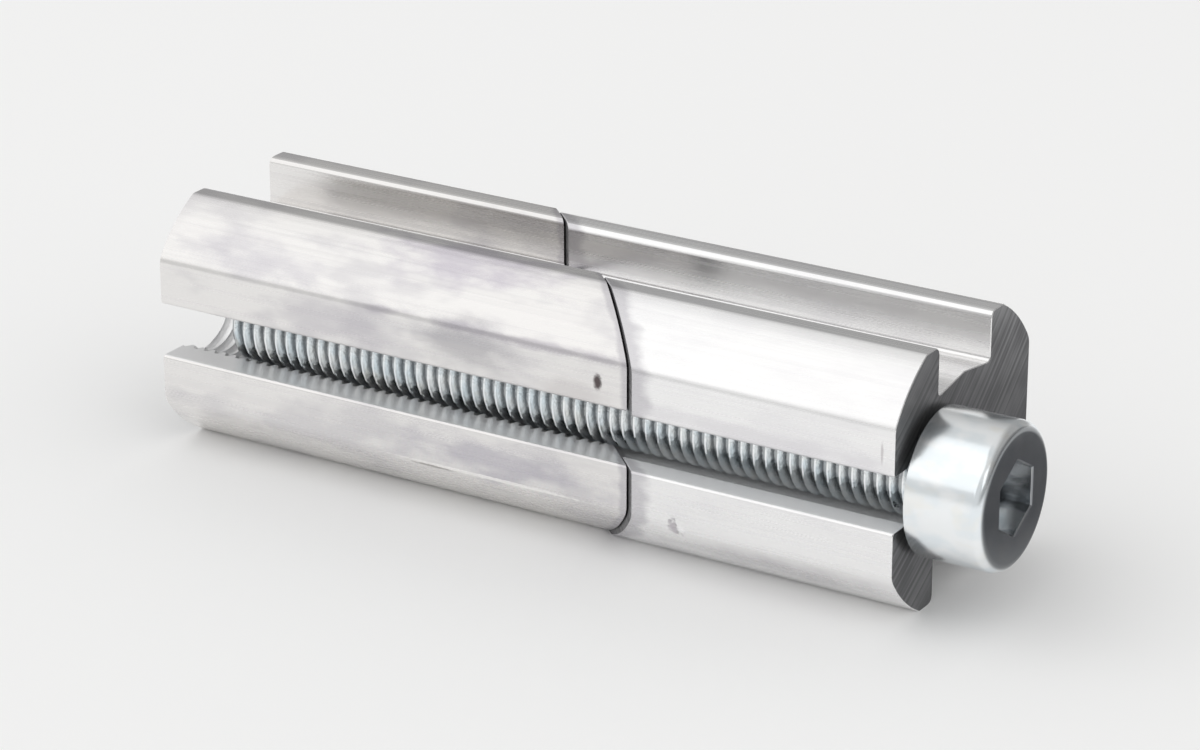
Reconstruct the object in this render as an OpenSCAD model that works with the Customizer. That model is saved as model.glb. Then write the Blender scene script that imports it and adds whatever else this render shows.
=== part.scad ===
/* [Extruded section] */
// Height of the two lobes that sit behind the slot lips
lobe_h = 9.8; // [9.2:0.1:10.6]
// Height of the flat front and back faces
face_h = 5.7; // [5:0.1:6.4]
// Depth of each lobe, from its shoulder to its flat face
lobe_d = 3.2; // [2.9:0.1:3.6]
// Width of the flat crown along the top and bottom of each lobe
crown_w = 0.95; // [0.7:0.05:1.2]
// How far each flank bows out between the crown and the flat face
flank_bow = 0.2; // [0:0.01:0.25]
// Gap between the shoulders of the two lobes, which takes both slot lips
grip_gap = 4; // [3.7:0.1:4.4]
// Height of the neck at the foot of the shoulders
neck_h = 6; // [5.4:0.1:6.4]
// Rise of the neck's ridge above its foot, on the top and on the bottom
ridge_rise = 0.3; // [0.1:0.05:0.45]
// Radius of the corner between each shoulder and its crown
crown_r = 0.3; // [0.1:0.05:0.4]
// Radius of the corners at both ends of each flank
corner_r = 0.2; // [0.1:0.05:0.25]
// Radius at the foot of each shoulder
root_r = 0.2; // [0.1:0.05:0.3]

/* [Screw channel] */
// Depth of the channel's axis behind the front face
channel_depth = 2.6; // [2.5:0.05:2.9]
// Width of the slit that opens the channel to the front
slit_w = 2.1; // [1.6:0.1:2.4]
// Radial clearance round the thread in the threaded wedge
thread_clearance = 0.05; // [0.02:0.01:0.09]
// Radial clearance round the shank in the head wedge
shank_clearance = 0.1; // [0.06:0.01:0.15]

/* [Wedges] */
// Length of the threaded wedge at the middle of its depth
threaded_len = 15.7; // [13:0.1:20]
// Length of the head wedge at the middle of its depth
head_wedge_len = 15.7; // [13:0.1:20]
// Angle between the oblique cut and the long axis
cut_angle = 45; // [40:1:52]
// Gap between the two oblique faces while the screw is loose
seam_gap = 0.2; // [0.1:0.05:0.4]
// How far the head wedge stands forward of the threaded one while loose
rest_offset = 0.3; // [0.1:0.05:0.4]
// Sideways travel of the head wedge as the screw is tightened
clamp_travel = 0.7; // [0.4:0.05:0.8]

/* [Clamp screw] */
// Diameter over the thread
screw_d = 3; // [2.9:0.05:3.1]
// Length below the head
screw_len = 30; // [26:1:32]
// Bevel at the tip of the screw
tip_bevel = 0.35; // [0.2:0.05:0.5]
// Gap between the head and the wedge's end while the screw is loose
head_gap = 0.3; // [0.15:0.05:0.5]
// Diameter of the head
head_d = 5.5; // [5:0.1:5.8]
// Height of the head
head_h = 3; // [2.4:0.1:3.4]
// Radius of the head's outer edge
head_edge_r = 0.4; // [0.2:0.05:0.6]
// Width across the flats of the hexagon socket
socket_af = 2.5; // [2:0.1:3]
// Depth of the socket's flats
socket_depth = 1.3; // [1:0.1:1.6]
// Width of the bevel round the socket's mouth
socket_bevel = 0.12; // [0.05:0.01:0.2]

/* [Hidden] */
// Flat pieces along each flank and each corner arc
flank_steps = 6;
corner_steps = 4;
// Facets round the screw and its channel
round_fn = 64;
// Run of a cutting solid past what it cuts
past = 1;
// Angle of the drilled point under the socket
drill_angle = 118;
socket_corner_d = socket_af / cos(30);

// Half sizes of the section, from its own middle
shoulder_y = grip_gap / 2;
crown_y = shoulder_y + crown_w;
face_y = shoulder_y + lobe_d;
face_z = face_h / 2;
crown_z = lobe_h / 2;
foot_z = neck_h / 2;
ridge_z = foot_z + ridge_rise;

// Places along the long axis, from the threaded wedge's cut at its mid depth
cut_run = face_y / tan(cut_angle);
head_wedge_start = seam_gap / sin(cut_angle) + rest_offset / tan(cut_angle);
head_wedge_end = head_wedge_start + head_wedge_len;
head_seat_x = head_wedge_end + head_gap;
low_x = -threaded_len;
high_x = head_seat_x + head_h;
origin_x = (low_x + high_x) / 2;

// Sideways places of the two wedges and of the screw's axis
threaded_y = rest_offset / 2;
head_wedge_y = -rest_offset / 2;
channel_y = channel_depth - face_y;
screw_y = threaded_y + channel_y;
// The screw's axis in the head wedge, while loose and when tight
loose_y = channel_y + rest_offset;
tight_y = loose_y - clamp_travel;

function unit(v) = v / norm(v);

// Points of an arc of radius r that rounds the corner p between a and b
function rounded(a, p, b, r) =
    let (
        u = unit(a - p),
        v = unit(b - p),
        half = acos(u * v) / 2,
        centre = p + unit(u + v) * r / sin(half),
        from = p + u * r / tan(half) - centre,
        to = p + v * r / tan(half) - centre,
        start = atan2(from.y, from.x),
        swing = atan2(to.y, to.x) - start,
        turn = swing - 360 * round(swing / 360)
    )
    [for (i = [0:corner_steps]) centre + r * [for (f = [0, 90]) cos(start + turn * i / corner_steps - f)]];

// Corner points of a lobe's flank, bowed outwards from the crown to the face
flank_out = unit([crown_z - face_z, face_y - crown_y]);
function flank(t) =
    [crown_y, crown_z] + t * [face_y - crown_y, face_z - crown_z]
    + 4 * flank_bow * t * (1 - t) * flank_out;

// One quarter of the section as [point, radius], from the ridge to the flat face
quarter = [
    [[0, ridge_z], 0],
    [[shoulder_y, foot_z], root_r],
    [[shoulder_y, crown_z], crown_r],
    [[crown_y, crown_z], corner_r],
    for (i = [1:flank_steps - 1]) [flank(i / flank_steps), 0],
    [[face_y, face_z], corner_r]
];
last = len(quarter) - 1;
function flipped(c, side) = [[c[0].x * side.x, c[0].y * side.y], c[1]];

// The four quarters in one loop, with the ridge points used once
corners = [
    for (i = [0:last]) flipped(quarter[i], [1, 1]),
    for (i = [last:-1:0]) flipped(quarter[i], [1, -1]),
    for (i = [1:last]) flipped(quarter[i], [-1, -1]),
    for (i = [last:-1:1]) flipped(quarter[i], [-1, 1])
];
section_points = [
    for (i = [0:len(corners) - 1])
        let (
            before = corners[(i + len(corners) - 1) % len(corners)][0],
            here = corners[i],
            after = corners[(i + 1) % len(corners)][0]
        )
        each here[1] == 0 ? [here[0]] : rounded(before, here[0], after, here[1])
];

// A length of the extruded bar along X, from one place to another
module bar(from_x, to_x) {
    translate([from_x, 0, 0])
        rotate([90, 0, 90])
            linear_extrude(to_x - from_x)
                polygon(section_points);
}

// A block whose near face is the oblique cut plane, on the side given by +1 or -1
module beyond_cut(side) {
    block = 2 * (cut_run + face_y) + lobe_h + past;
    rotate([0, 0, 90 - cut_angle])
        translate([side * block / 2, 0, 0])
            cube(block, center = true);
}

// The round channel between two depths, and the slit that opens it to the front
module keyhole(from_x, to_x, channel_r, near_y, far_y) {
    for (y = [near_y, far_y])
        translate([from_x, y, 0])
            rotate([0, 90, 0])
                cylinder(h = to_x - from_x, r = channel_r, $fn = round_fn);
    if (far_y > near_y)
        translate([from_x, near_y, -channel_r])
            cube([to_x - from_x, far_y - near_y, 2 * channel_r]);
    translate([from_x, -face_y - past, -slit_w / 2])
        cube([to_x - from_x, face_y + past + far_y, slit_w]);
}

module in_frame(y) {
    translate([-origin_x, y, crown_z]) children();
}

module threaded_wedge() {
    thread_r = screw_d / 2 + thread_clearance;
    color("silver") in_frame(threaded_y) difference() {
        bar(low_x, cut_run + past);
        beyond_cut(1);
        keyhole(low_x - past, cut_run + past, thread_r, channel_y, channel_y);
    }
}

module head_wedge() {
    shank_r = screw_d / 2 + shank_clearance;
    color("gainsboro") in_frame(head_wedge_y) translate([head_wedge_start, 0, 0]) difference() {
        bar(-cut_run - past, head_wedge_len);
        beyond_cut(-1);
        keyhole(-cut_run - past, head_wedge_len + past, shank_r, tight_y, loose_y);
    }
}

// Half outline of the screw, as [radius, height above the head's seat]
function head_edge(a) =
    [head_d / 2 - head_edge_r * (1 - sin(a)), head_h - head_edge_r * (1 - cos(a))];
screw_profile = [
    [0, -screw_len],
    [screw_d / 2 - tip_bevel, -screw_len],
    [screw_d / 2, tip_bevel - screw_len],
    [screw_d / 2, 0],
    [head_d / 2, 0],
    for (i = [0:corner_steps]) head_edge(90 - 90 * i / corner_steps),
    [0, head_h]
];

module hex_socket() {
    point_h = socket_corner_d / 2 / tan(drill_angle / 2);
    mouth_r = socket_corner_d / 2 + socket_bevel;
    translate([0, 0, head_h - socket_depth])
        cylinder(h = socket_depth + past, d = socket_corner_d, $fn = 6);
    translate([0, 0, head_h - socket_depth - point_h])
        intersection() {
            cylinder(h = point_h, r1 = 0, r2 = socket_corner_d / 2, $fn = round_fn);
            cylinder(h = point_h, d = socket_corner_d, $fn = 6);
        }
    translate([0, 0, head_h - mouth_r])
        cylinder(h = mouth_r + past, r1 = 0, r2 = mouth_r + past, $fn = round_fn);
}

module clamp_screw() {
    color("lightsteelblue") in_frame(screw_y) translate([head_seat_x, 0, 0])
        rotate([0, 90, 0]) difference() {
            rotate_extrude($fn = round_fn) polygon(screw_profile);
            hex_socket();
        }
}

threaded_wedge();
head_wedge();
clamp_screw();
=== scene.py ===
import math
import bpy
import bmesh
from mathutils import Matrix, Vector


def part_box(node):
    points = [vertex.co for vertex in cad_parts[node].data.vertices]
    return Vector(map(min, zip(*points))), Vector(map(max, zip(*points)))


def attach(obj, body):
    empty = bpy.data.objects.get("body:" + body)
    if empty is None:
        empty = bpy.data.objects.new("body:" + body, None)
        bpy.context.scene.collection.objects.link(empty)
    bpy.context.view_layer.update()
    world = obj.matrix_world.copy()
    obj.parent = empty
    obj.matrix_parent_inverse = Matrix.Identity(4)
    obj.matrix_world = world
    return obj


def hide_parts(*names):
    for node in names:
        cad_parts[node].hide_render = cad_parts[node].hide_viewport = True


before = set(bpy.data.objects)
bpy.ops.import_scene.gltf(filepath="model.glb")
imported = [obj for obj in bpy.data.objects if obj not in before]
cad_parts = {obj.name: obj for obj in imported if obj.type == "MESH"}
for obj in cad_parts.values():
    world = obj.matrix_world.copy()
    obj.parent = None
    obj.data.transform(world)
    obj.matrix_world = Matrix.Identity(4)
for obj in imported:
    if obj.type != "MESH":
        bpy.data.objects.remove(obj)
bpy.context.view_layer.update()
print("frame loaded")

millimetre = 0.001
tolerance = 1e-3  # in millimetres, as the two below
mergeDistance = 1e-4
cutTolerance = 1e-5
sameDirection = 0.999  # least cosine between two directions that count as one


# shared mesh helpers: every mesh is shaped in millimetres and finished in metres

def chainVertex(bm, last, y, z):
    # a new point in the section plane, joined to the last one
    vertex = bm.verts.new((0, y, z))
    if last is not None:
        bm.edges.new((last, vertex))
    return vertex


def vertsOf(items):
    return [item for item in items if isinstance(item, bmesh.types.BMVert)]


def edgesOf(items):
    return [item for item in items if isinstance(item, bmesh.types.BMEdge)]


def spinVertex(bm, vertex, centre, degrees, steps, axis=(1, 0, 0)):
    # an arc of edges; returns its far end
    spun = bmesh.ops.spin(bm, geom=[vertex], cent=centre, axis=axis, angle=math.radians(degrees),
                          steps=steps, use_merge=False, use_duplicate=False)
    return vertsOf(spun["geom_last"])[0]


def mirrorOutline(bm, axis):
    bmesh.ops.mirror(bm, geom=bm.verts[:] + bm.edges[:], matrix=Matrix.Identity(4),
                     merge_dist=mergeDistance, axis=axis)


def cutOff(bm, point, normal):
    # everything beyond the plane goes, and the cut is closed
    cut = bmesh.ops.bisect_plane(bm, geom=bm.verts[:] + bm.edges[:] + bm.faces[:], dist=cutTolerance,
                                 plane_co=point, plane_no=normal, clear_outer=True)
    bmesh.ops.contextual_create(bm, geom=edgesOf(cut["geom_cut"]))


def finishPiece(bm, name, node, materials, sharpDegrees):
    bmesh.ops.recalc_face_normals(bm, faces=bm.faces)
    bmesh.ops.scale(bm, vec=Vector((1, 1, 1)) * millimetre, verts=bm.verts)
    mesh = bpy.data.meshes.new(name)
    bm.to_mesh(mesh)
    bm.free()
    mesh.shade_smooth()
    mesh.set_sharp_from_angle(angle=math.radians(sharpDegrees))
    for material in materials:
        mesh.materials.append(material)
    piece = bpy.data.objects.new(name, mesh)
    bpy.context.scene.collection.objects.link(piece)
    weighted = piece.modifiers.new("evenShading", "WEIGHTED_NORMAL")
    weighted.keep_sharp = True
    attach(piece, node)
    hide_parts(node)


# material helpers: sizes in millimetres, colours as they are written

noiseLow = 0.3  # a noise seldom leaves the range between these two
noiseHigh = 0.7
fineDetail = 3.0  # octaves of the finer noises


def addNode(tree, kind, inputs, **settings):
    # a node with its settings, each input set to a value or linked to a socket
    node = tree.nodes.new(kind)
    for name, value in settings.items():
        setattr(node, name, value)
    for socket, value in inputs.items():
        if isinstance(value, bpy.types.NodeSocket):
            tree.links.new(value, node.inputs[socket])
        else:
            node.inputs[socket].default_value = value
    return node


def calc(tree, operation, first, second=0.0):
    return addNode(tree, "ShaderNodeMath", {0: first, 1: second}, operation=operation).outputs[0]


def vectorCalc(tree, operation, first, second=(0, 0, 0)):
    return addNode(tree, "ShaderNodeVectorMath", {0: first, 1: second}, operation=operation).outputs


def rescale(tree, value, fromLow, fromHigh, toLow=0, toHigh=1, kind="LINEAR"):
    inputs = {"Value": value, "From Min": fromLow, "From Max": fromHigh, "To Min": toLow, "To Max": toHigh}
    return addNode(tree, "ShaderNodeMapRange", inputs, interpolation_type=kind).outputs["Result"]


def fade(tree, value, none, full, most=1):
    # from 0 to the most, with soft ends
    return rescale(tree, value, none, full, 0, most, "SMOOTHSTEP")


def tint(tree, factor, first, second):
    # the first colour goes over to the second
    colours = [(*colour, 1) if isinstance(colour, tuple) else colour for colour in (first, second)]
    inputs = {0: factor, 6: colours[0], 7: colours[1]}
    return addNode(tree, "ShaderNodeMix", inputs, data_type="RGBA").outputs[2]


def grain(tree, place, grainSize, detail=2.0):
    # noise whose grains have their own length along X, Y and Z
    scale = [1 / (size * millimetre) for size in grainSize]
    mapped = addNode(tree, "ShaderNodeMapping", {"Vector": place, "Scale": scale}).outputs[0]
    return addNode(tree, "ShaderNodeTexNoise", {"Vector": mapped, "Scale": 1.0, "Detail": detail}).outputs[0]


def objectPlace(tree):
    return addNode(tree, "ShaderNodeTexCoord", {}).outputs["Object"]


def axisDistance(tree, place, y, z):
    # how far the surface is from a line along X
    offset = vectorCalc(tree, "SUBTRACT", place, Vector((0, y, z)) * millimetre)[0]
    flat = vectorCalc(tree, "MULTIPLY", offset, (0, 1, 1))[0]
    return vectorCalc(tree, "LENGTH", flat)["Value"]


def newMaterial(name, colour, roughness, metallic=1.0):
    material = bpy.data.materials.new(name)
    material.use_nodes = True
    shader = material.node_tree.nodes["Principled BSDF"]
    shader.inputs["Base Color"].default_value = (*colour, 1)
    shader.inputs["Roughness"].default_value = roughness
    shader.inputs["Metallic"].default_value = metallic
    return material, material.node_tree, shader


def setSurface(tree, shader, colour, roughness, height):
    # height in millimetres
    bump = addNode(tree, "ShaderNodeBump", {"Height": height, "Distance": millimetre, "Strength": 1.0})
    tree.links.new(colour, shader.inputs["Base Color"])
    tree.links.new(roughness, shader.inputs["Roughness"])
    tree.links.new(bump.outputs[0], shader.inputs["Normal"])


# the shape of the two wedges

barShape = {
    "lobeHeight": 9.8,  # over the crowns
    "faceHeight": 5.7,  # of the flat front and back
    "halfDepth": 5.2,  # from the middle to the front or back flat
    "crownWidth": 0.95,
    "flankBow": 0.2,
    "gripGap": 4.0,  # between facing shoulders
    "neckHeight": 6.0,
    "ridgeRise": 0.3,
    "crownRadius": 0.3,  # between shoulder and crown
    "crownEdge": 0.08,  # between crown and flank
    "cornerRadius": 0.2,  # between flank and flat
    "rootRadius": 0.2,
    "slitWidth": 2.1,
    "mouthRadius": 0.15,  # along the slit's mouth
    "axisDepth": 2.6,  # of the screw's axis behind the threaded wedge's front
    "flankSteps": 8,
    "arcSteps": 14,
    "cornerSteps": 3,
    "mouthSteps": 4,
    "cutAngle": 45,
    "cutEdge": 0.03,  # broken edge round each sawn face
    "cutForward": 0.08,  # how far each oblique face closes the seam, so that it shows as a line
    "tapPitch": 0.5,
    "tapDepth": 0.2,
    "tapRings": 4,  # rings of points in one pitch
    "tapLands": 2,  # of them on the crest
    "tapRunOut": 0.3,  # plain wall left beside the oblique cut
    "sharpAngle": 28,  # between faces that meet in an edge
}
wedgePlaces = {
    "length": 15.7,  # at the middle of the depth
    "screwRadius": 1.5,
    "threadClearance": 0.05,
    "shankClearance": 0.1,
    "restOffset": 0.3,  # how far the head wedge stands forward
    "clampTravel": 0.7,
}


def acrossCut(shape):
    # the direction across the oblique cut
    angle = math.radians(shape["cutAngle"])
    return Vector((math.sin(angle), math.cos(angle), 0))


def atCorner(vertex, y, z):
    # in any quarter of the section
    return abs(abs(vertex.co.y) - y) < tolerance and abs(abs(vertex.co.z) - z) < tolerance


def halfOutline(bm, shape):
    # a quarter from the neck's ridge over the shoulder and the crown to the flat, then mirrored in Y
    halfCrown = shape["lobeHeight"] / 2
    shoulder = shape["gripGap"] / 2
    crownOuter = shoulder + shape["crownWidth"]
    foot = shape["neckHeight"] / 2
    chord = Vector((0, shape["halfDepth"] - crownOuter, shape["faceHeight"] / 2 - halfCrown))
    outward = Vector((0, -chord.z, chord.y)).normalized()
    bow = shape["flankBow"]
    flankRadius = (chord.length ** 2 / 4 + bow ** 2) / (2 * bow)
    flankTurn = 2 * math.degrees(math.asin(chord.length / 2 / flankRadius))
    middle = Vector((0, crownOuter, halfCrown)) + chord / 2
    ridge = chainVertex(bm, None, 0, foot + shape["ridgeRise"])
    root = chainVertex(bm, ridge, shoulder, foot)
    inner = chainVertex(bm, root, shoulder, halfCrown)
    outer = chainVertex(bm, inner, crownOuter, halfCrown)
    spinVertex(bm, outer, middle - outward * (flankRadius - bow), -flankTurn, shape["flankSteps"])
    mirrorOutline(bm, "Y")


def keyhole(bm, shape, channelRadius, nearAxis, farAxis):
    # from the front flat through the slit and round the channel, as far as the middle height
    slit = shape["slitWidth"] / 2
    reach = math.sqrt(channelRadius ** 2 - slit ** 2)
    front = min(bm.verts, key=lambda v: v.co.y)
    lip = chainVertex(bm, front, -shape["halfDepth"], slit)
    inlet = chainVertex(bm, lip, nearAxis - reach, slit)
    opening = math.degrees(math.atan2(reach, slit))
    top = spinVertex(bm, inlet, (0, nearAxis, 0), -opening, shape["arcSteps"] // 2)
    if farAxis > nearAxis:
        top = chainVertex(bm, top, farAxis, channelRadius)
    spinVertex(bm, top, (0, farAxis, 0), -90, shape["arcSteps"])


def sectionFace(bm, shape, channelRadius, nearAxis, farAxis):
    halfOutline(bm, shape)
    keyhole(bm, shape, channelRadius, nearAxis, farAxis)
    mirrorOutline(bm, "Z")
    bm.edges.new([v for v in bm.verts if v.co.y > shape["halfDepth"] - tolerance])
    bmesh.ops.remove_doubles(bm, verts=bm.verts, dist=mergeDistance)
    bmesh.ops.contextual_create(bm, geom=bm.edges[:])
    # round the corners of the outline
    halfCrown = shape["lobeHeight"] / 2
    shoulder = shape["gripGap"] / 2
    steps = shape["cornerSteps"]
    corners = [
        (shoulder, halfCrown, shape["crownRadius"], steps),
        (shoulder + shape["crownWidth"], halfCrown, shape["crownEdge"], steps),
        (shape["halfDepth"], shape["faceHeight"] / 2, shape["cornerRadius"], steps),
        (shoulder, shape["neckHeight"] / 2, shape["rootRadius"], steps),
        (shape["halfDepth"], shape["slitWidth"] / 2, shape["mouthRadius"], shape["mouthSteps"]),
    ]
    for y, z, radius, segments in corners:
        bmesh.ops.bevel(bm, geom=[v for v in bm.verts if atCorner(v, y, z)], offset=radius,
                        affect="VERTICES", segments=segments, profile=0.5, material=-1)
    return max(bm.faces, key=lambda f: f.calc_area())


def tapChannel(bm, shape, radius, axisY, startX, cutPoint, cutNormal):
    # grooves of a tapped thread in the channel's wall, on rings that are slid along a helix
    rings = shape["tapRings"]
    step = shape["tapPitch"] / rings
    slit = shape["slitWidth"] / 2
    reach = radius + shape["tapDepth"]

    def onWall(vertex):
        return abs(math.hypot(vertex.co.y - axisY, vertex.co.z) - radius) < tolerance

    long = [e for e in bm.edges if e.calc_length() > shape["tapPitch"]]
    wall = [e for e in long if onWall(e.verts[0]) and onWall(e.verts[1])]
    bmesh.ops.subdivide_edges(bm, edges=wall, cuts=round(wall[0].calc_length() / step) - 1)
    for vertex in [v for v in bm.verts if onWall(v)]:
        ring = round(abs(vertex.co.x - startX) / step)
        turn = math.atan2(vertex.co.z, vertex.co.y - axisY)
        vertex.co.x += shape["tapPitch"] * turn / math.radians(360)
        nearCut = (vertex.co - cutPoint).dot(cutNormal) > -shape["tapRunOut"]
        if ring % rings < shape["tapLands"] or nearCut:
            continue
        if abs(abs(vertex.co.z) - slit) < tolerance:
            vertex.co.y = axisY - math.sqrt(reach ** 2 - slit ** 2)  # stays on the slit's wall
        else:
            vertex.co.y = axisY + (vertex.co.y - axisY) * reach / radius
            vertex.co.z *= reach / radius


def cutBar(shape, channelRadius, nearAxis, farAxis, squareEnd, cutMiddle, facing, tapped=False):
    # facing is +1 where the oblique cut is at the bar's +X end
    bm = bmesh.new()
    section = sectionFace(bm, shape, channelRadius, nearAxis, farAxis)
    edge = shape["cutEdge"]
    spare = 2  # length cut off beyond each end
    run = shape["halfDepth"] / math.tan(math.radians(shape["cutAngle"]))
    square = Vector((-facing, 0, 0))
    oblique = acrossCut(shape) * facing
    cutPoint = Vector((cutMiddle, 0, 0)) + oblique * (shape["cutForward"] - edge)
    step = shape["tapPitch"] / shape["tapRings"]
    length = math.ceil((abs(cutMiddle - squareEnd) + run + 2 * spare) / step) * step
    startX = squareEnd - facing * spare
    bmesh.ops.translate(bm, verts=bm.verts, vec=(startX, 0, 0))
    grown = bmesh.ops.extrude_face_region(bm, geom=[section])
    bmesh.ops.translate(bm, verts=vertsOf(grown["geom"]), vec=(facing * length, 0, 0))
    bmesh.ops.recalc_face_normals(bm, faces=bm.faces)
    if tapped:
        tapChannel(bm, shape, channelRadius, nearAxis, startX, cutPoint, oblique)
    cutOff(bm, cutPoint, oblique)
    cutOff(bm, Vector((squareEnd, 0, 0)) - square * edge, square)
    bmesh.ops.recalc_face_normals(bm, faces=bm.faces)
    # the sawn faces, each with a broken edge
    for aim in (oblique, square):
        bm.normal_update()
        sawn = [f for f in bm.faces if f.normal.dot(aim) > sameDirection]
        face = max(sawn, key=lambda f: f.calc_area())
        bmesh.ops.inset_region(bm, faces=[face], thickness=edge, depth=edge, use_even_offset=True)
        face.material_index = 1
    return bm


# where the wedges are

channelMiddle = barShape["axisDepth"] - barShape["halfDepth"]
looseAxis = channelMiddle + wedgePlaces["restOffset"]
tightAxis = looseAxis - wedgePlaces["clampTravel"]

threadedLow, threadedHigh = (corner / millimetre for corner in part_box("threaded_wedge"))
headLow, headHigh = (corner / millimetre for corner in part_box("head_wedge"))
threadedMiddle = (threadedLow.y + threadedHigh.y) / 2
headMiddle = (headLow.y + headHigh.y) / 2
middleHeight = threadedHigh.z / 2
screwAxis = threadedMiddle + channelMiddle
threadedCut = threadedLow.x + wedgePlaces["length"]
headCut = headHigh.x - wedgePlaces["length"]


# the metal of the two wedges; a mark's size is its half length, half depth and half height

# the threaded wedge's metal is darker and the head wedge's brighter: painted shade on the one and painted
# light on the other, for how differently the two pieces are turned to the light
threadedFinish = {
    "bright": (0.82, 0.805, 0.79),
    "cloudy": (0.66, 0.645, 0.655),
    "cloudAmount": 0.75,
    "smooth": 0.20,  # least roughness
    "rough": 0.33,
    "lineDepth": 0.0012,  # of the lines left by the die
    "waveDepth": 0.012,  # of the slow unevenness
    "slitPaintedLight": 0.7,
    "slitMatt": 0.3,
    "seamShadeWidth": 0.14,  # width of the painted shade beside the oblique cut, for the shading of its rounded edge
    "marks": [
        # smears on the upper flank and on the lower half, and painted shade along the upper flank's lower
        # edge
        {"at": (-4.6, -3.0, 9.5), "size": (3.2, 1.0, 0.8), "colour": (0.48, 0.44, 0.52),
         "amount": 0.6, "soft": 0.7, "ragged": 1.2, "depth": 0.006},
        {"at": (-3.7, -5.05, 7.1), "size": (1.7, 0.6, 0.9), "colour": (0.40, 0.39, 0.41),
         "amount": 0.6, "soft": 0.75, "ragged": 0.9, "depth": 0.004},
        # painted shade along the crease under the upper flank
        {"at": (-0.8, -5.0, 7.75), "size": (5.5, 0.6, 0.16), "colour": (0.46, 0.43, 0.48),
         "amount": 0.6, "soft": 0.7, "ragged": 1.3, "depth": 0.005},
        {"at": (-2.2, -5.05, 2.7), "size": (3.2, 0.6, 0.6), "colour": (0.46, 0.44, 0.50),
         "amount": 0.6, "soft": 0.75, "ragged": 1.2, "depth": 0.005},
        # a painted highlight along the lower crease, for the glint of a burr, and a short dark scratch at
        # its end
        {"at": (-2.4, -5.05, 2.03), "size": (3.8, 0.4, 0.08), "colour": (0.98, 0.97, 0.95),
         "amount": 0.85, "soft": 0.45, "ragged": 0.5, "depth": -0.006},
        {"at": (-5.2, -5.03, 1.92), "size": (0.9, 0.3, 0.05), "colour": (0.33, 0.31, 0.30),
         "amount": 0.7, "soft": 0.45, "ragged": 0.5, "depth": 0.01},
        # a faint smear above the slit
        {"at": (1.0, -5.05, 6.3), "size": (1.6, 0.5, 0.4), "colour": (0.58, 0.55, 0.55),
         "amount": 0.5, "soft": 0.7, "ragged": 1.0, "depth": 0.0},
        # the dent near the cut, with painted shade in it
        {"at": (2.09, -5.05, 6.87), "size": (0.15, 0.2, 0.26), "colour": (0.12, 0.10, 0.10),
         "amount": 1.0, "soft": 0.45, "ragged": 0.35, "depth": 0.05},
        # faint smears towards the far end
        {"at": (-9.5, -5.05, 6.9), "size": (2.6, 0.6, 0.8), "colour": (0.50, 0.48, 0.52),
         "amount": 0.5, "soft": 0.75, "ragged": 1.1, "depth": 0.003},
        {"at": (-13.5, -4.3, 8.3), "size": (2.0, 0.9, 0.7), "colour": (0.52, 0.50, 0.55),
         "amount": 0.5, "soft": 0.75, "ragged": 1.1, "depth": 0.003},
    ],
}
headFinish = {
    "bright": (0.90, 0.895, 0.89),
    "cloudy": (0.82, 0.81, 0.82),
    "cloudAmount": 0.5,
    "smooth": 0.20,
    "rough": 0.32,
    "lineDepth": 0.001,
    "waveDepth": 0.009,
    "slitPaintedLight": 1.0,
    "slitMatt": 0.65,
    "seamShadeWidth": 0.36,
    "marks": [
        # a nick, with painted shade in it and a painted highlight on its raised edge
        {"at": (5.45, -5.3, 2.0), "size": (0.16, 0.4, 0.3), "colour": (0.50, 0.47, 0.50),
         "amount": 0.8, "soft": 0.45, "ragged": 1.4, "depth": 0.03},
        {"at": (5.75, -5.3, 1.95), "size": (0.14, 0.4, 0.2), "colour": (0.97, 0.97, 0.97),
         "amount": 0.9, "soft": 0.45, "ragged": 1.2, "depth": -0.02},
        # a scratch near the square end
        {"at": (13.85, -5.35, 6.77), "size": (0.05, 0.3, 0.36), "colour": (0.55, 0.52, 0.53),
         "amount": 0.7, "soft": 0.45, "ragged": 0.3, "depth": 0.008},
        # faint smears above the slit and on the lower flank
        {"at": (9.0, -5.35, 6.3), "size": (4.2, 0.4, 0.3), "colour": (0.68, 0.66, 0.69),
         "amount": 0.5, "soft": 0.7, "ragged": 1.0, "depth": 0.002},
        {"at": (9.2, -4.6, 1.2), "size": (3.0, 0.8, 0.4), "colour": (0.60, 0.58, 0.60),
         "amount": 0.5, "soft": 0.7, "ragged": 1.0, "depth": 0.003},
    ],
}
extrusion = {
    "lineGrain": (22, 0.15, 0.15),
    "cloudGrain": (3.4, 1.5, 1.5),
    "largeRagged": (1.6, 0.7, 0.7),  # of the outlines of smears
    "smallRagged": (0.22, 0.16, 0.16),  # of the outlines of nicks and scratches
    "cloudFrom": 0.46,
    "cloudTo": 0.66,
    "lineFrom": 0.5,
    "lineTo": 0.75,
    "lineAmount": 0.22,
    # painted light for the walls of the slit and the channel
    "slitPaintedLightColour": (0.96, 0.965, 0.97),
    "slitMargin": 0.03,
    "channelReach": 2.3,  # from the screw's axis
    "slitRoughness": 0.3,  # added where the slit is fully matt
    "seamShadeColour": (0.47, 0.455, 0.485),
    "seamShadeAmount": 0.6,
    "seamShadeFrom": 1.5,  # in widths of the painted shade beside the cut
    "seamShadeTo": 0.4,
    "softMark": 0.5,  # marks softer than this have the outline of a smear
}
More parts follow.
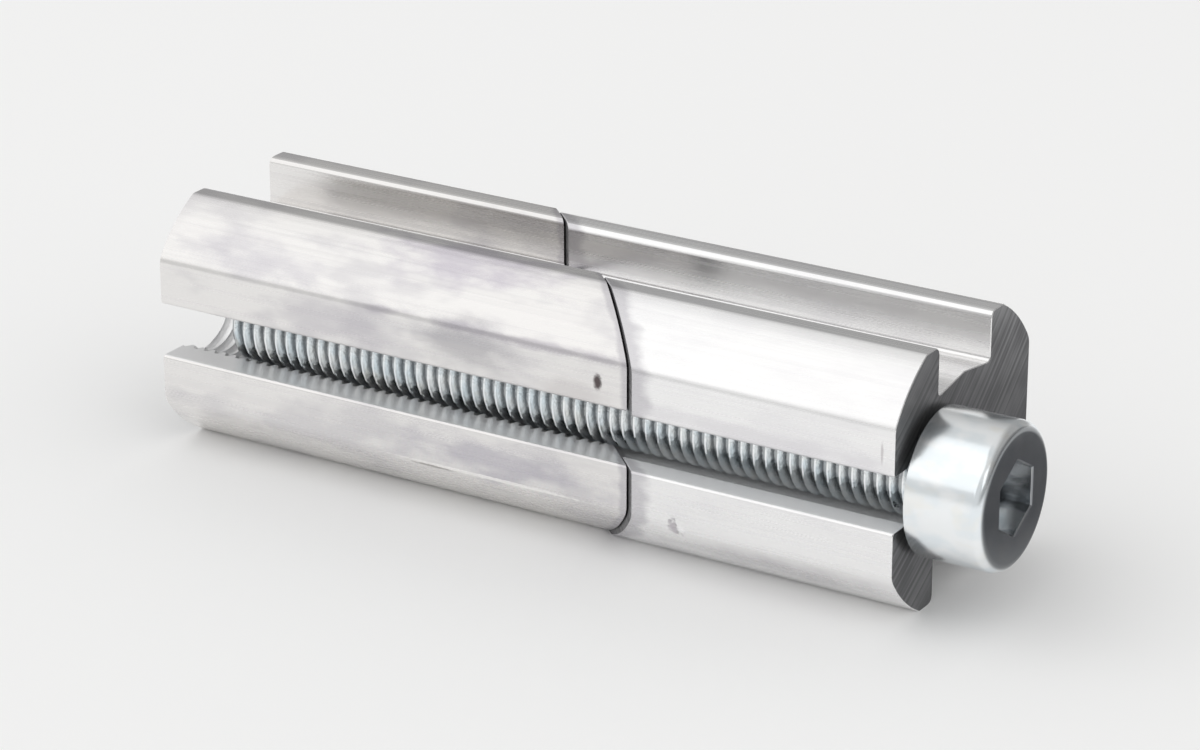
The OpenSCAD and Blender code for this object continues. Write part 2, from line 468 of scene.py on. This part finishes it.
# the sawn faces: their saw arcs and rougher finish are their own; their dark colours are painted shade, for
# the dark they reflect
sawnFinish = {
    "bright": (0.26, 0.26, 0.265),
    "dark": (0.165, 0.165, 0.17),
    "brightFrom": 0.38,
    "brightTo": 0.62,
    "smooth": 0.36,
    "rough": 0.52,
    "roughFrom": 0.35,
    "roughTo": 0.65,
    "bladeCentre": (-28.0, 41.0),  # Y and Z of the saw's hub, from which its marks are arcs
    "markSpacing": 0.16,
    "markDepth": 0.004,
    "cloudGrain": (2.0, 2.0, 2.0),
}


def raggedEdge(tree, place, grainSize):
    # unevenness of a mark's outline, as much inwards as outwards
    return rescale(tree, grain(tree, place, grainSize, fineDetail), noiseLow, noiseHigh, -0.5, 0.5)


def channelMask(tree, place):
    # 1 on the walls of the slit and the channel
    parts = addNode(tree, "ShaderNodeSeparateXYZ", {0: place}).outputs
    offMiddle = calc(tree, "ABSOLUTE", calc(tree, "SUBTRACT", parts["Z"], middleHeight * millimetre))
    halfWidth = barShape["slitWidth"] / 2 + extrusion["slitMargin"]
    betweenWalls = calc(tree, "LESS_THAN", offMiddle, halfWidth * millimetre)
    inFront = calc(tree, "LESS_THAN", parts["Y"], screwAxis * millimetre)
    fromAxis = axisDistance(tree, place, screwAxis, middleHeight)
    nearAxis = calc(tree, "LESS_THAN", fromAxis, extrusion["channelReach"] * millimetre)
    return calc(tree, "MAXIMUM", calc(tree, "MULTIPLY", betweenWalls, inFront), nearAxis)


def seamShadeMask(tree, place, ragged, width, cutPoint, facing):
    # painted shade beside the oblique cut through cutPoint, for the shading of its rounded edge; facing is
    # +1 where it is at the bar's +X end
    along = vectorCalc(tree, "DOT_PRODUCT", place, acrossCut(barShape))["Value"]
    inward = calc(tree, "SUBTRACT", along, cutPoint.dot(acrossCut(barShape)) * millimetre)
    inward = calc(tree, "MULTIPLY", inward, -facing / millimetre)
    widths = calc(tree, "ADD", calc(tree, "DIVIDE", inward, width), ragged)
    return fade(tree, widths, extrusion["seamShadeFrom"], extrusion["seamShadeTo"], extrusion["seamShadeAmount"])


def markMask(tree, place, mark, ragged):
    offset = vectorCalc(tree, "SUBTRACT", place, Vector(mark["at"]) * millimetre)[0]
    scaled = vectorCalc(tree, "DIVIDE", offset, Vector(mark["size"]) * millimetre)[0]
    reach = vectorCalc(tree, "LENGTH", scaled)["Value"]
    worn = calc(tree, "ADD", reach, calc(tree, "MULTIPLY", ragged, mark["ragged"]))
    return fade(tree, worn, 1 + mark["soft"], 1 - mark["soft"])


def extrudedMetal(name, finish, cutPoint, facing):
    material, tree, shader = newMaterial(name, finish["bright"], finish["smooth"])
    place = objectPlace(tree)
    lines = grain(tree, place, extrusion["lineGrain"], fineDetail)
    cloud = grain(tree, place, extrusion["cloudGrain"], fineDetail)
    largeRagged = raggedEdge(tree, place, extrusion["largeRagged"])
    smallRagged = raggedEdge(tree, place, extrusion["smallRagged"])
    # clouds and lines
    cloudy = fade(tree, cloud, extrusion["cloudFrom"], extrusion["cloudTo"], finish["cloudAmount"])
    colour = tint(tree, cloudy, finish["bright"], finish["cloudy"])
    lined = rescale(tree, lines, extrusion["lineFrom"], extrusion["lineTo"], 0, extrusion["lineAmount"])
    colour = tint(tree, lined, colour, finish["cloudy"])
    height = calc(tree, "MULTIPLY", lines, finish["lineDepth"])
    height = calc(tree, "ADD", height, calc(tree, "MULTIPLY", cloud, finish["waveDepth"]))
    roughness = rescale(tree, lines, noiseLow, noiseHigh, finish["smooth"], finish["rough"])
    # painted light on the walls of the slit and the channel: a paler colour keeps them light where they lie
    # in shade; they are also matt and partly not metallic
    inChannel = channelMask(tree, place)
    pale = calc(tree, "MULTIPLY", inChannel, finish["slitPaintedLight"])
    colour = tint(tree, pale, colour, extrusion["slitPaintedLightColour"])
    metallic = rescale(tree, inChannel, 0, 1, 1, 1 - finish["slitMatt"])
    tree.links.new(metallic, shader.inputs["Metallic"])
    matt = calc(tree, "MULTIPLY", inChannel, finish["slitMatt"] * extrusion["slitRoughness"])
    roughness = calc(tree, "ADD", roughness, matt)
    # painted shade beside the oblique cut, for the shading of its rounded edge
    seamShade = seamShadeMask(tree, place, largeRagged, finish["seamShadeWidth"], cutPoint, facing)
    colour = tint(tree, seamShade, colour, extrusion["seamShadeColour"])
    for mark in finish["marks"]:
        ragged = largeRagged if mark["soft"] > extrusion["softMark"] else smallRagged
        spot = markMask(tree, place, mark, ragged)
        colour = tint(tree, calc(tree, "MULTIPLY", spot, mark["amount"]), colour, mark["colour"])
        height = calc(tree, "SUBTRACT", height, calc(tree, "MULTIPLY", spot, mark["depth"]))
    setSurface(tree, shader, colour, roughness, height)
    return material


def sawnMetal(name, finish):
    material, tree, shader = newMaterial(name, finish["bright"], finish["rough"])
    place = objectPlace(tree)
    hubDistance = axisDistance(tree, place, *finish["bladeCentre"])
    inputs = {"W": hubDistance, "Scale": 1 / (finish["markSpacing"] * millimetre), "Detail": fineDetail}
    arcs = addNode(tree, "ShaderNodeTexNoise", inputs, noise_dimensions="1D").outputs[0]
    cloud = grain(tree, place, finish["cloudGrain"])
    shade = calc(tree, "MULTIPLY", calc(tree, "ADD", arcs, cloud), 0.5)
    polished = fade(tree, shade, finish["brightFrom"], finish["brightTo"])
    colour = tint(tree, polished, finish["dark"], finish["bright"])
    roughness = rescale(tree, shade, finish["roughFrom"], finish["roughTo"],
                        finish["rough"], finish["smooth"])
    setSurface(tree, shader, colour, roughness, calc(tree, "MULTIPLY", arcs, finish["markDepth"]))
    return material


paintedShadeSawnAluminium = sawnMetal("paintedShadeSawnAluminium", sawnFinish)
# a painted-shade copy and a painted-light copy of one extruded aluminium
darkerPaintedShadeAluminium = extrudedMetal("paintedShadeExtrudedAluminium", threadedFinish,
                                Vector((threadedCut, threadedMiddle, 0)), 1)
paintedLightExtrudedAluminium = extrudedMetal("paintedLightExtrudedAluminium", headFinish, Vector((headCut, headMiddle, 0)), -1)

bm = cutBar(barShape, wedgePlaces["screwRadius"] + wedgePlaces["threadClearance"],
            channelMiddle, channelMiddle, threadedLow.x, threadedCut, 1, tapped=True)
bmesh.ops.translate(bm, verts=bm.verts, vec=(0, threadedMiddle, middleHeight))
finishPiece(bm, "threadedWedge", "threaded_wedge",
            [darkerPaintedShadeAluminium, paintedShadeSawnAluminium], barShape["sharpAngle"])
print("threaded wedge built")

bm = cutBar(barShape, wedgePlaces["screwRadius"] + wedgePlaces["shankClearance"],
            tightAxis, looseAxis, headHigh.x, headCut, -1)
bmesh.ops.translate(bm, verts=bm.verts, vec=(0, headMiddle, middleHeight))
finishPiece(bm, "headWedge", "head_wedge",
            [paintedLightExtrudedAluminium, paintedShadeSawnAluminium], barShape["sharpAngle"])
print("head wedge built")


# the clamp screw

screwShape = {
    "pitch": 0.5,
    "crestRadius": 1.49,
    "rootRadius": 1.2,
    "crestFlat": 0.07,
    "rootFlat": 0.12,
    "turnSteps": 24,
    "tipBevel": 0.35,
    "length": 30,
    "shankInHead": 0.25,  # how far the thread runs into the head
    "headRadius": 2.75,
    "headHeight": 3.0,
    "rimRadius": 0.4,
    "rimSteps": 6,
    "seatInner": 0.9,  # radius where the seat is closed, inside the thread
    "socketFlats": 2.5,
    "socketDepth": 1.3,
    "socketBevel": 0.06,
    "drillAngle": 118,
    "aroundSteps": 72,
    "sharpAngle": 32,  # between faces that meet in an edge
}
screwFinish = {
    "blue": (0.83, 0.88, 0.905),
    "pale": (0.93, 0.95, 0.955),
    "straw": (0.90, 0.89, 0.84),  # faint yellow of the passivation
    "smooth": 0.16,
    "rough": 0.26,
    "cloudGrain": (1.3, 0.9, 0.9),
    "paleFrom": 0.38,
    "paleTo": 0.6,
    "strawGrain": (1.0, 0.8, 0.8),
    "strawFrom": 0.58,
    "strawTo": 0.72,
    "strawAmount": 0.5,
    "turnedGrain": (0.06, 8, 8),
    "lineDepth": 0.0008,
    "pitGrain": (0.22, 0.16, 0.16),
    "pitDepth": 0.02,  # of the rolled thread's unevenness
    "grooveShade": (0.18, 0.19, 0.20),  # painted shade in the thread's roots
    "grooveAmount": 0.7,
    "grooveFrom": 1.42,  # radii at which the groove's shade starts and is full
    "grooveTo": 1.24,
    "faceShade": (0.17, 0.18, 0.19),  # painted shade on the head's flat face, for the dark it reflects
    "faceAmount": 0.85,
    "faceFrom": 0.1,  # depths under the face at which its shade starts and is full
    "faceTo": 0.02,
    # painted shade in the socket
    "socketShade": (0.30, 0.31, 0.33),
    "socketAmount": 0.75,
    "socketReach": 1.5,  # radius that takes in the whole socket
    "socketShadeGrain": (1.2, 0.5, 0.5),
    "socketShadeFrom": 0.4,
    "socketShadeTo": 0.6,
    "socketShadeLeast": 0.25,
}


def threadedShank(shape):
    # one V of the thread swept along a helix, then cut square at both ends
    pitch = shape["pitch"]
    spareTurns = 3  # cut off at the two ends
    flank = (pitch - shape["crestFlat"] - shape["rootFlat"]) / 2
    crest = shape["rootFlat"] + flank
    bm = bmesh.new()
    outline = [(0, shape["rootRadius"]), (shape["rootFlat"], shape["rootRadius"]),
               (crest, shape["crestRadius"]), (crest + shape["crestFlat"], shape["crestRadius"]),
               (pitch, shape["rootRadius"])]
    verts = [bm.verts.new((x, radius, 0)) for x, radius in outline]
    edges = [bm.edges.new(pair) for pair in zip(verts, verts[1:])]
    turns = round(shape["length"] / pitch) + spareTurns
    bmesh.ops.translate(bm, verts=verts, vec=(-shape["length"] - spareTurns / 2 * pitch, 0, 0))
    bmesh.ops.spin(bm, geom=verts + edges, cent=(0, 0, 0), axis=(1, 0, 0),
                   dvec=(pitch / shape["turnSteps"], 0, 0), angle=math.radians(360 * turns),
                   steps=turns * shape["turnSteps"], use_merge=False, use_duplicate=False)
    bmesh.ops.remove_doubles(bm, verts=bm.verts, dist=tolerance)
    bmesh.ops.recalc_face_normals(bm, faces=bm.faces)
    cutOff(bm, (-shape["length"], 0, 0), (-1, 0, 0))
    cutOff(bm, (shape["shankInHead"], 0, 0), (1, 0, 0))
    return bm


def bevelTip(bm, shape):
    # nothing at the tip stands further out than its cone
    for vertex in bm.verts:
        allowed = shape["crestRadius"] - shape["tipBevel"] + (vertex.co.x + shape["length"])
        radius = math.hypot(vertex.co.y, vertex.co.z)
        if radius > allowed:
            vertex.co.y *= allowed / radius
            vertex.co.z *= allowed / radius


def hexReach(shape, vertex):
    # from the axis to the socket's wall, in the direction of the vertex
    turn = math.atan2(vertex.co.z, vertex.co.y)
    halfSide = math.radians(30)
    sector = (turn + halfSide) % (2 * halfSide) - halfSide
    return shape["socketFlats"] / 2 / math.cos(sector)


def nextRing(bm, edges, place):
    # faces from the given rim to where place puts each of its points: X and distance from the axis
    grown = bmesh.ops.extrude_edge_only(bm, edges=edges)["geom"]
    for vertex in vertsOf(grown):
        radius = math.hypot(vertex.co.y, vertex.co.z)
        x, reach = place(vertex)
        vertex.co = Vector((x, vertex.co.y * reach / radius, vertex.co.z * reach / radius))
    return edgesOf(grown)


def cutSocket(bm, shape, mouth):
    # the hexagon ring by ring, with the drill's point at its end
    top = shape["headHeight"]
    bevel = shape["socketBevel"]
    bottom = top - shape["socketDepth"]
    cornerReach = shape["socketFlats"] / math.sqrt(3)
    point = cornerReach / math.tan(math.radians(shape["drillAngle"] / 2))

    def drilled(vertex):
        reach = hexReach(shape, vertex)
        return bottom - point * (1 - reach / cornerReach), reach

    ring = nextRing(bm, mouth, lambda v: (top, hexReach(shape, v) + bevel))
    ring = nextRing(bm, ring, lambda v: (top - bevel, hexReach(shape, v)))
    ring = nextRing(bm, ring, drilled)
    tip = vertsOf(bmesh.ops.extrude_edge_only(bm, edges=ring)["geom"])
    bmesh.ops.pointmerge(bm, verts=tip, merge_co=(bottom - point, 0, 0))


def addHead(bm, shape):
    # a half outline spun about the axis, closed by the seat and the socket
    rim = shape["rimRadius"]
    top = shape["headHeight"]
    shank = set(bm.verts)
    seat = bm.verts.new((0, shape["headRadius"], 0))
    corner = bm.verts.new((top - rim, shape["headRadius"], 0))
    inner = bm.verts.new((0, shape["seatInner"], 0))
    bm.edges.new((inner, seat))
    bm.edges.new((seat, corner))
    spinVertex(bm, corner, (top - rim, shape["headRadius"] - rim, 0), -90, shape["rimSteps"], (0, 0, 1))
    outline = [v for v in bm.verts if v not in shank]
    edges = list({edge for vertex in outline for edge in vertex.link_edges})
    bmesh.ops.spin(bm, geom=outline + edges, cent=(0, 0, 0), axis=(1, 0, 0), angle=math.radians(360),
                   steps=shape["aroundSteps"], use_merge=True)
    bmesh.ops.remove_doubles(bm, verts=[v for v in bm.verts if v not in shank], dist=mergeDistance)
    openRims = [e for e in bm.edges if e.is_boundary]
    bmesh.ops.contextual_create(bm, geom=[e for e in openRims if max(v.co.x for v in e.verts) < tolerance])
    cutSocket(bm, shape, [e for e in openRims if min(v.co.x for v in e.verts) > top - tolerance])


def platedMetal(name, finish, seatX, axisY, axisZ):
    material, tree, shader = newMaterial(name, finish["pale"], finish["smooth"])
    place = objectPlace(tree)
    x = addNode(tree, "ShaderNodeSeparateXYZ", {0: place}).outputs["X"]
    radius = axisDistance(tree, place, axisY, axisZ)
    onShank = calc(tree, "LESS_THAN", x, seatX * millimetre)
    # the plating
    cloud = grain(tree, place, finish["cloudGrain"], fineDetail)
    paler = fade(tree, cloud, finish["paleFrom"], finish["paleTo"])
    colour = tint(tree, paler, finish["blue"], finish["pale"])
    strawy = grain(tree, place, finish["strawGrain"])
    strawy = fade(tree, strawy, finish["strawFrom"], finish["strawTo"], finish["strawAmount"])
    colour = tint(tree, strawy, colour, finish["straw"])
    # painted shade in the thread's roots
    inRoot = fade(tree, radius, finish["grooveFrom"] * millimetre, finish["grooveTo"] * millimetre,
                  finish["grooveAmount"])
    colour = tint(tree, calc(tree, "MULTIPLY", inRoot, onShank), colour, finish["grooveShade"])
    # painted shade on the head's flat face, for the dark it reflects
    faceX = seatX + screwShape["headHeight"]
    faceStart = (faceX - finish["faceFrom"]) * millimetre
    faceFull = (faceX - finish["faceTo"]) * millimetre
    onFace = fade(tree, x, faceStart, faceFull, finish["faceAmount"])
    colour = tint(tree, onFace, colour, finish["faceShade"])
    # painted shade in the socket, patchy
    inSocket = calc(tree, "LESS_THAN", radius, finish["socketReach"] * millimetre)
    inSocket = calc(tree, "MULTIPLY", inSocket, calc(tree, "SUBTRACT", 1, onShank))
    socketShadePatches = grain(tree, place, finish["socketShadeGrain"], fineDetail)
    socketShadePatches = rescale(tree, socketShadePatches, finish["socketShadeFrom"], finish["socketShadeTo"], finish["socketShadeLeast"], 1,
                       "SMOOTHSTEP")
    shaded = calc(tree, "MULTIPLY", calc(tree, "MULTIPLY", inSocket, socketShadePatches), finish["socketAmount"])
    colour = tint(tree, shaded, colour, finish["socketShade"])
    # relief
    roughness = rescale(tree, cloud, noiseLow, noiseHigh, finish["smooth"], finish["rough"])
    pits = calc(tree, "MULTIPLY", grain(tree, place, finish["pitGrain"]), finish["pitDepth"])
    height = calc(tree, "MULTIPLY", grain(tree, place, finish["turnedGrain"]), finish["lineDepth"])
    height = calc(tree, "ADD", height, calc(tree, "MULTIPLY", pits, onShank))
    setSurface(tree, shader, colour, roughness, height)
    return material


screwLow, screwHigh = (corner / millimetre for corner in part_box("clamp_screw"))
screwCentre = (screwLow + screwHigh) / 2
seat = Vector((screwHigh.x - screwShape["headHeight"], screwCentre.y, screwCentre.z))
bm = threadedShank(screwShape)
bevelTip(bm, screwShape)
addHead(bm, screwShape)
bmesh.ops.translate(bm, verts=bm.verts, vec=seat)
zincPlate = platedMetal("zincPlate", screwFinish, *seat)
finishPiece(bm, "clampScrew", "clamp_screw", [zincPlate], screwShape["sharpAngle"])
print("clamp screw built")


# floor, room, lamps and camera

floorShape = {
    "size": 3.0,
    "colour": (0.94, 0.94, 0.935),
    "paintedReflectionColour": (1.0, 1.0, 1.0),  # painted reflection: the floor is this white in reflections only
    "paintedDarkReflection": (0.22, 0.22, 0.23),  # painted dark reflection: the floor is this dark in reflections only, in a patch behind the screw's head
    "dimCentre": (0.027, 0.010, 0),
    "dimInner": 0.006,
    "dimOuter": 0.018,
    "roughness": 0.8,
}
floorMesh = bpy.data.meshes.new("floor")
bm = bmesh.new()
bmesh.ops.create_grid(bm, x_segments=1, y_segments=1, size=floorShape["size"] / 2)
bm.to_mesh(floorMesh)
bm.free()
floor = bpy.data.objects.new("floor", floorMesh)
bpy.context.scene.collection.objects.link(floor)
floorPaint, tree, shader = newMaterial("floorPaint", floorShape["colour"], floorShape["roughness"], 0.0)
shader.inputs["Specular IOR Level"].default_value = 0.0
# painted reflection: what reflections see of the floor is whiter, and dark in a patch behind the screw's
# head
mirrored = addNode(tree, "ShaderNodeLightPath", {}).outputs["Is Glossy Ray"]
away = vectorCalc(tree, "DISTANCE", objectPlace(tree), floorShape["dimCentre"])["Value"]
darkReflectionPatch = fade(tree, away, floorShape["dimOuter"], floorShape["dimInner"])
shown = tint(tree, mirrored, floorShape["colour"], floorShape["paintedReflectionColour"])
shown = tint(tree, calc(tree, "MULTIPLY", darkReflectionPatch, mirrored), shown, floorShape["paintedDarkReflection"])
tree.links.new(shown, shader.inputs["Base Color"])
floorMesh.materials.append(floorPaint)

room = {
    "brightSide": (-0.5, -0.6, 0.62),  # towards the bright walls
    "brightWall": 0.72,
    "dimWall": 0.34,
    "dimUpTo": -0.15,  # cosines of the angle to the bright side
    "brightFrom": 0.5,
    "light": 0.82,
    "backdrop": 1.0,
}
world = bpy.data.worlds.new("studioWorld")
bpy.context.scene.world = world
world.use_nodes = True
tree = world.node_tree
rays = addNode(tree, "ShaderNodeLightPath", {}).outputs
direction = addNode(tree, "ShaderNodeTexCoord", {}).outputs["Generated"]
towards = vectorCalc(tree, "DOT_PRODUCT", direction, Vector(room["brightSide"]).normalized())["Value"]
walls = rescale(tree, towards, room["dimUpTo"], room["brightFrom"], room["dimWall"], room["brightWall"],
                "SMOOTHSTEP")
level = rescale(tree, rays["Is Glossy Ray"], 0, 1, room["light"], walls)
level = rescale(tree, rays["Is Camera Ray"], 0, 1, level, room["backdrop"])
background = tree.nodes["Background"]
background.inputs["Color"].default_value = (1, 1, 1, 1)
tree.links.new(level, background.inputs["Strength"])

softBoxes = {
    "keyLight": {"place": (-0.35, -0.42, 0.60), "size": (1.1, 0.9), "brightness": 0.42},
    "fillLight": {"place": (0.55, -0.30, 0.35), "size": (0.3, 0.3), "brightness": 0.7},
}
for name, box in softBoxes.items():
    lamp = bpy.data.lights.new(name, "AREA")
    lamp.shape = "RECTANGLE"
    lamp.size, lamp.size_y = box["size"]
    lamp.energy = box["brightness"] * math.pi * lamp.size * lamp.size_y  # so that its face is this bright
    lampObject = bpy.data.objects.new(name, lamp)
    lampObject.location = box["place"]
    lampObject.rotation_euler = Vector(box["place"]).to_track_quat("Z", "Y").to_euler()
    bpy.context.scene.collection.objects.link(lampObject)

view = {
    "place": (0.0744874, -0.121653, 0.061639),
    "target": (-0.000706, -0.000355, 0.004973),
    "lens": 123.2,
    "sensorWidth": 36,
    "nearLimit": 0.005,
}
camera = bpy.data.objects.new("camera", bpy.data.cameras.new("camera"))
sight = Vector(view["place"]) - Vector(view["target"])
camera.matrix_world = Matrix.Translation(view["place"]) @ sight.to_track_quat("Z", "Y").to_matrix().to_4x4()
camera.data.lens = view["lens"]
camera.data.sensor_width = view["sensorWidth"]
camera.data.clip_start = view["nearLimit"]
bpy.context.scene.collection.objects.link(camera)
bpy.context.scene.camera = camera
bpy.context.scene.view_settings.view_transform = "Standard"
print("studio set")

bpy.context.view_layer.update()
